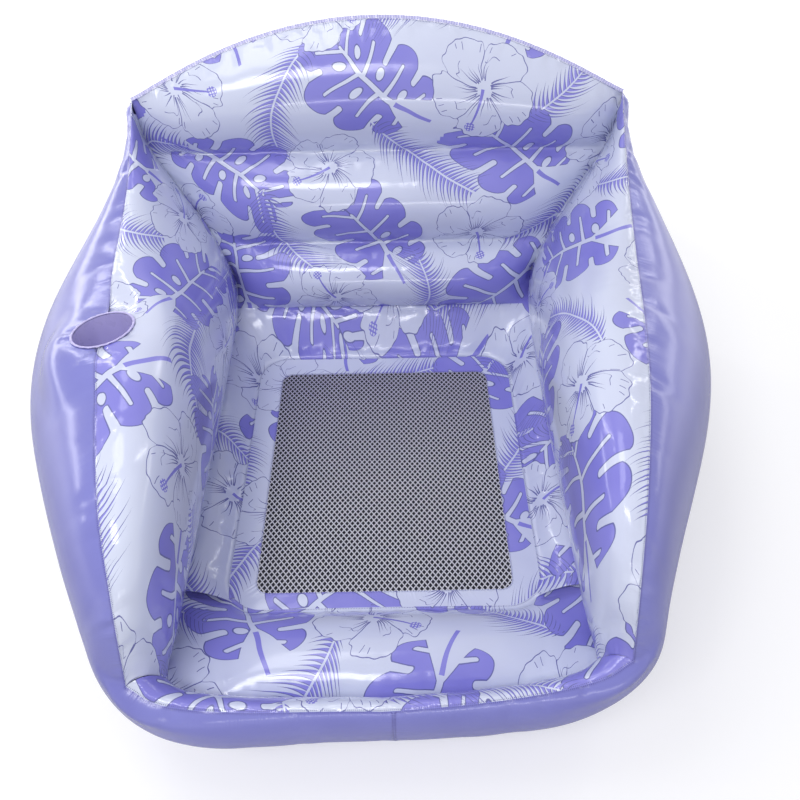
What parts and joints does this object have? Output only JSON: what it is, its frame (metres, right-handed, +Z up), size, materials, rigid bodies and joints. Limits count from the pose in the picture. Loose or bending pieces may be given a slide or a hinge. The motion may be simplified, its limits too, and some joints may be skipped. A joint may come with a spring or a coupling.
{
  "type": "inflatable pool chair",
  "caption": "Inflatable pool armchair with a tufted back, bolster arms, open mesh seat, arm cup holder and air valves.",
  "frame": {"origin": "centre of the bounding box at the ground", "axes": "+Z up, the chair faces -Y, +X is the sitter's left and the viewer's right"},
  "size_m": [1.0552, 1.032, 0.6448],
  "materials": {
    "wall_vinyl": "gloss",
    "print_vinyl": "gloss",
    "inner_vinyl": "satin",
    "seat_mesh": "matte",
    "cup_vinyl": "gloss",
    "valve_vinyl": "satin"
  },
  "bodies": {
    "chair": {"arm_cover_left": "print_vinyl", "arm_cover_right": "print_vinyl", "back_baffle_lower": "inner_vinyl", "back_baffle_upper": "inner_vinyl", "back_cover": "print_vinyl", "back_weld_flange": "wall_vinyl", "chamber_divider": "inner_vinyl", "cup_holder_base": "cup_vinyl", "cup_holder_lip": "cup_vinyl", "cup_holder_sleeve": "cup_vinyl", "front_ridge_cover": "print_vinyl", "front_roll_cover": "print_vinyl", "lower_valve_socket": "valve_vinyl", "mesh_frame_lower": "wall_vinyl", "mesh_frame_upper": "print_vinyl", "mesh_panel": "seat_mesh", "outer_wall_left": "wall_vinyl", "outer_wall_right": "wall_vinyl", "seat_surround_cover": "print_vinyl", "underside_panel": "wall_vinyl", "upper_valve_socket": "valve_vinyl"},
    "upper_valve_stem_body": {"upper_valve_stem": "valve_vinyl", "upper_valve_strap": "valve_vinyl"},
    "upper_valve_cap_body": {"upper_valve_cap": "valve_vinyl"},
    "upper_valve_flap_body": {"upper_valve_flap": "valve_vinyl"},
    "lower_valve_stem_body": {"lower_valve_stem": "valve_vinyl", "lower_valve_strap": "valve_vinyl"},
    "lower_valve_cap_body": {"lower_valve_cap": "valve_vinyl"},
    "lower_valve_flap_body": {"lower_valve_flap": "valve_vinyl"}
  },
  "joints": [
    {"name": "upper_valve_pull", "type": "slide", "parent": "chair", "child": "upper_valve_stem_body", "axis": [0.2893, 0.9573, 0.0017], "range_m": [0, 0.0115]},
    {"name": "upper_valve_cap_turn", "type": "hinge", "parent": "upper_valve_stem_body", "child": "upper_valve_cap_body", "pos_m": [0.1847, 0.49943, 0.32847], "axis": [-0.0005, -0.0016, 1], "range_deg": [0, 150]},
    {"name": "upper_valve_flap_turn", "type": "hinge", "parent": "upper_valve_stem_body", "child": "upper_valve_flap_body", "pos_m": [0.19749, 0.4778, 0.32844], "axis": [-0.0005, -0.0016, 1], "range_deg": [0, 45], "stiffness_Nm_per_rad": 0.001},
    {"name": "lower_valve_pull", "type": "slide", "parent": "chair", "child": "lower_valve_stem_body", "axis": [-0.208, 0.8715, -0.4441], "range_m": [0, 0.0115]},
    {"name": "lower_valve_cap_turn", "type": "hinge", "parent": "lower_valve_stem_body", "child": "lower_valve_cap_body", "pos_m": [-0.19992, 0.45019, 0.09222], "axis": [-0.1031, 0.4319, 0.896], "range_deg": [0, 150]},
    {"name": "lower_valve_flap_turn", "type": "hinge", "parent": "lower_valve_stem_body", "child": "lower_valve_flap_body", "pos_m": [-0.17839, 0.43967, 0.09977], "axis": [-0.1031, 0.4319, 0.896], "range_deg": [0, 45], "stiffness_Nm_per_rad": 0.001}
  ]
}
